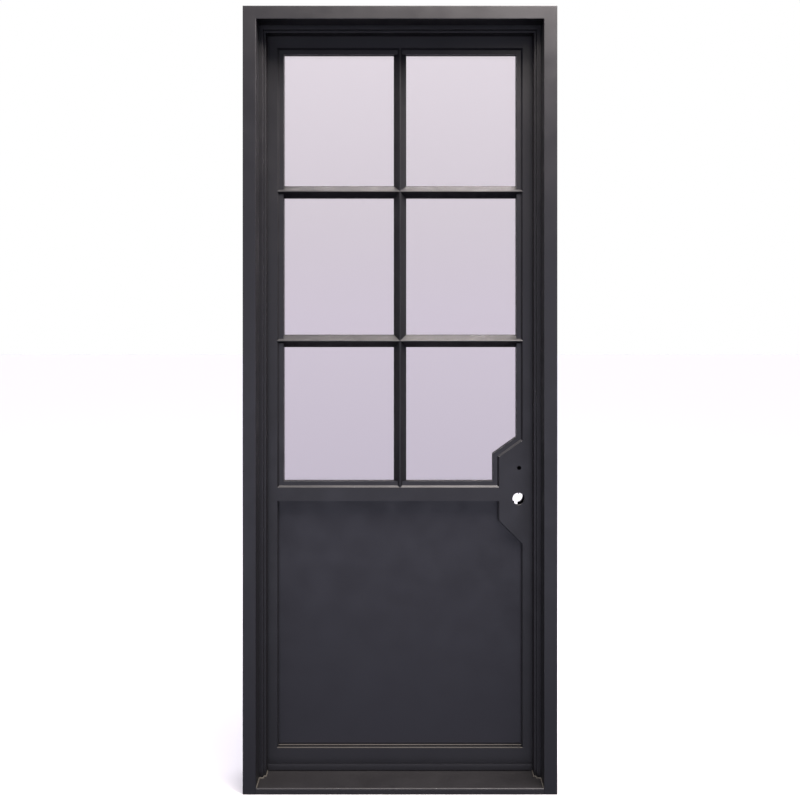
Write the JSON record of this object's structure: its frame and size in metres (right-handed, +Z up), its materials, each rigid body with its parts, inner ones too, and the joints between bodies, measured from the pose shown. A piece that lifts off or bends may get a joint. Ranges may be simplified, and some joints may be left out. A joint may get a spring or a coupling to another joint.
{
  "type": "glazed steel entrance door with frame",
  "caption": "Inward-opening steel door leaf with divided insulated glass over a solid kick panel, hung on barrel hinges in a stepped steel frame with a sill.",
  "frame": {"origin": "middle of the underside of the sill, halfway through the frame's depth", "axes": "+X to the right seen from outside, +Y from the outside face towards the room, +Z up"},
  "size_m": [0.974, 0.171, 2.44],
  "materials": {
    "black_paint": "satin, very fine texture",
    "sill_paint": "satin, walked on",
    "clear_glass": "clear, faint cool tint",
    "spacer_aluminium": "satin",
    "seal_rubber": "matt",
    "bare_steel": "brushed",
    "bearing_brass": "turned",
    "core_board": "raw board"
  },
  "bodies": {
    "frame": {"hinge_jamb": "black_paint", "latch_jamb": "black_paint", "head": "black_paint", "sill": "sill_paint", "seal_hinge_side": "seal_rubber", "seal_latch_side": "seal_rubber", "seal_head": "seal_rubber", "strike_plate": "bare_steel", "hinge_low_frame_knuckle": "black_paint", "hinge_low_pin": "bare_steel", "hinge_low_bearing": "bearing_brass", "hinge_middle_frame_knuckle": "black_paint", "hinge_middle_pin": "bare_steel", "hinge_middle_bearing": "bearing_brass", "hinge_high_frame_knuckle": "black_paint", "hinge_high_pin": "bare_steel", "hinge_high_bearing": "bearing_brass"},
    "leaf": {"hinge_stile": "black_paint", "latch_stile": "black_paint", "top_rail": "black_paint", "lock_rail": "black_paint", "bottom_rail": "black_paint", "glazing_frame": "black_paint", "bar_vertical": "black_paint", "bar_upper_left": "black_paint", "bar_upper_right": "black_paint", "bar_lower_left": "black_paint", "bar_lower_right": "black_paint", "outer_glass_top_left": "clear_glass", "outer_glass_top_right": "clear_glass", "outer_glass_middle_left": "clear_glass", "outer_glass_middle_right": "clear_glass", "outer_glass_bottom_left": "clear_glass", "outer_glass_bottom_right": "clear_glass", "inner_glass_top_left": "clear_glass", "inner_glass_top_right": "clear_glass", "inner_glass_middle_left": "clear_glass", "inner_glass_middle_right": "clear_glass", "inner_glass_bottom_left": "clear_glass", "inner_glass_bottom_right": "clear_glass", "spacer_top_left": "spacer_aluminium", "spacer_top_right": "spacer_aluminium", "spacer_middle_left": "spacer_aluminium", "spacer_middle_right": "spacer_aluminium", "spacer_bottom_left": "spacer_aluminium", "spacer_bottom_right": "spacer_aluminium", "bead_top_left": "black_paint", "bead_top_right": "black_paint", "bead_middle_left": "black_paint", "bead_middle_right": "black_paint", "bead_bottom_left": "black_paint", "bead_bottom_right": "black_paint", "kick_panel_front": "black_paint", "kick_panel_back": "black_paint", "kick_panel_core": "core_board", "door_sweep": "seal_rubber", "hinge_low_leaf_knuckle": "black_paint", "hinge_middle_leaf_knuckle": "black_paint", "hinge_high_leaf_knuckle": "black_paint"}
  },
  "joints": [
    {"name": "leaf_swing", "type": "hinge", "parent": "frame", "child": "leaf", "pos_m": [-0.43888, 0.086, 1.215], "axis": [0, 0, 1], "range_deg": [0, 120]}
  ]
}
